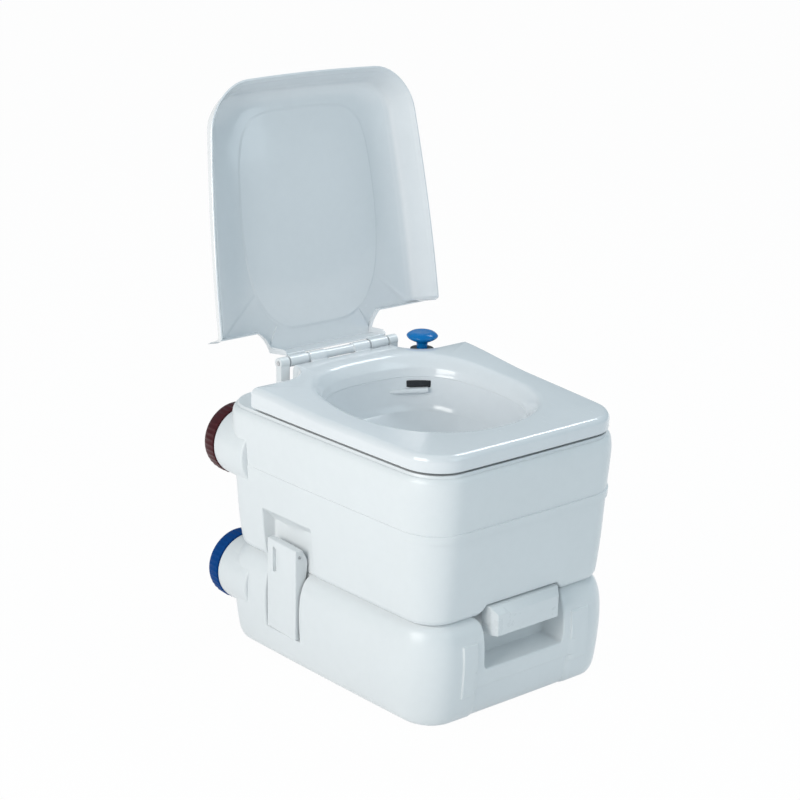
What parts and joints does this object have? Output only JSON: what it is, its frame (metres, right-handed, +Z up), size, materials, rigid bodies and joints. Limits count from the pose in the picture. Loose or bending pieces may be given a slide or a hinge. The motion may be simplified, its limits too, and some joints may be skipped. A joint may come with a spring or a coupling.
{
  "type": "portable camp toilet",
  "caption": "Two-tank portable camp toilet with hinged lid and seat, flush pump, slide valve, side latches and two screw caps",
  "frame": {"origin": "middle of the flat base under the waste tank, on the floor", "axes": "+Z up; -Y is the front with the valve handle; +X is the user's left when seated, the side of the flush pump"},
  "size_m": [0.3844, 0.4949, 0.7356],
  "materials": {
    "white_plastic": "satin moulded plastic",
    "glossy_white_plastic": "gloss moulded plastic",
    "grey_plastic": "matt moulded plastic",
    "blue_plastic": "blue moulded plastic",
    "dark_red_plastic": "dark red moulded plastic",
    "black_plastic": "black moulded plastic",
    "rubber": "black rubber",
    "stainless_steel": "plain stainless steel"
  },
  "bodies": {
    "root": {"waste_tank": "white_plastic", "flush_tank": "white_plastic", "bowl": "glossy_white_plastic", "hinge_pin": "stainless_steel", "hinge_bracket_left": "white_plastic", "hinge_bracket_right": "white_plastic", "hinge_screw_1": "stainless_steel", "hinge_screw_2": "stainless_steel", "valve_housing": "grey_plastic", "valve_cover": "white_plastic", "valve_seal_lower": "rubber", "valve_seal_upper": "rubber", "valve_screw_1": "stainless_steel", "valve_screw_2": "stainless_steel", "valve_screw_3": "stainless_steel", "valve_screw_4": "stainless_steel", "pump_cylinder": "white_plastic", "pump_collar": "black_plastic", "suction_valve": "rubber", "flush_hose": "rubber", "flush_nozzle": "grey_plastic", "latch_pin_left": "stainless_steel", "latch_pin_right": "stainless_steel"},
    "lid": {"lid": "glossy_white_plastic"},
    "seat": {"seat": "glossy_white_plastic", "seat_bumper_1": "rubber", "seat_bumper_2": "rubber", "seat_bumper_3": "rubber", "seat_bumper_4": "rubber"},
    "slide_valve": {"valve_blade": "white_plastic", "valve_rod": "white_plastic", "valve_handle": "white_plastic"},
    "pump_plunger": {"pump_knob": "blue_plastic", "pump_rod": "stainless_steel", "pump_piston": "white_plastic", "pump_seal": "rubber"},
    "latch_left": {"latch_left": "white_plastic"},
    "latch_right": {"latch_right": "white_plastic"},
    "fill_cap_travel": {"fill_cap_gasket": "rubber"},
    "fill_cap": {"fill_cap": "dark_red_plastic"},
    "drain_cap_travel": {"drain_cap_gasket": "rubber"},
    "drain_cap": {"drain_cap": "blue_plastic"}
  },
  "joints": [
    {"name": "lid_hinge", "type": "hinge", "parent": "root", "child": "lid", "pos_m": [0, 0.203, 0.366], "axis": [-1, 0, 0], "range_deg": [-99.5, 0]},
    {"name": "seat_hinge", "type": "hinge", "parent": "root", "child": "seat", "pos_m": [0, 0.203, 0.366], "axis": [-1, 0, 0], "range_deg": [0, 85]},
    {"name": "valve_slide", "type": "slide", "parent": "root", "child": "slide_valve", "axis": [0, -1, 0], "range_m": [0, 0.084]},
    {"name": "pump_slide", "type": "slide", "parent": "root", "child": "pump_plunger", "axis": [0, 0, 1], "range_m": [0, 0.042]},
    {"name": "latch_left_hinge", "type": "hinge", "parent": "root", "child": "latch_left", "pos_m": [-0.174, 0.081, 0.16], "axis": [0, 1, 0], "range_deg": [0, 35]},
    {"name": "latch_right_hinge", "type": "hinge", "parent": "root", "child": "latch_right", "pos_m": [0.174, 0.081, 0.16], "axis": [0, -1, 0], "range_deg": [0, 35]},
    {"name": "fill_cap_advance", "type": "slide", "parent": "root", "child": "fill_cap_travel", "axis": [0, 1, 0], "range_m": [0, 0.0081]},
    {"name": "fill_cap_turn", "type": "hinge", "parent": "fill_cap_travel", "child": "fill_cap", "pos_m": [-0.148, 0.23, 0.267], "axis": [0, 1, 0], "range_deg": [0, 720]},
    {"name": "drain_cap_advance", "type": "slide", "parent": "root", "child": "drain_cap_travel", "axis": [0, 1, 0], "range_m": [0, 0.0081]},
    {"name": "drain_cap_turn", "type": "hinge", "parent": "drain_cap_travel", "child": "drain_cap", "pos_m": [-0.143, 0.23, 0.085], "axis": [0, 1, 0], "range_deg": [0, 720]}
  ],
  "couplings": [
    {"joint": "fill_cap_advance", "follows": "fill_cap_turn", "m_per_rad": 0.00063662},
    {"joint": "drain_cap_advance", "follows": "drain_cap_turn", "m_per_rad": 0.00063662}
  ]
}
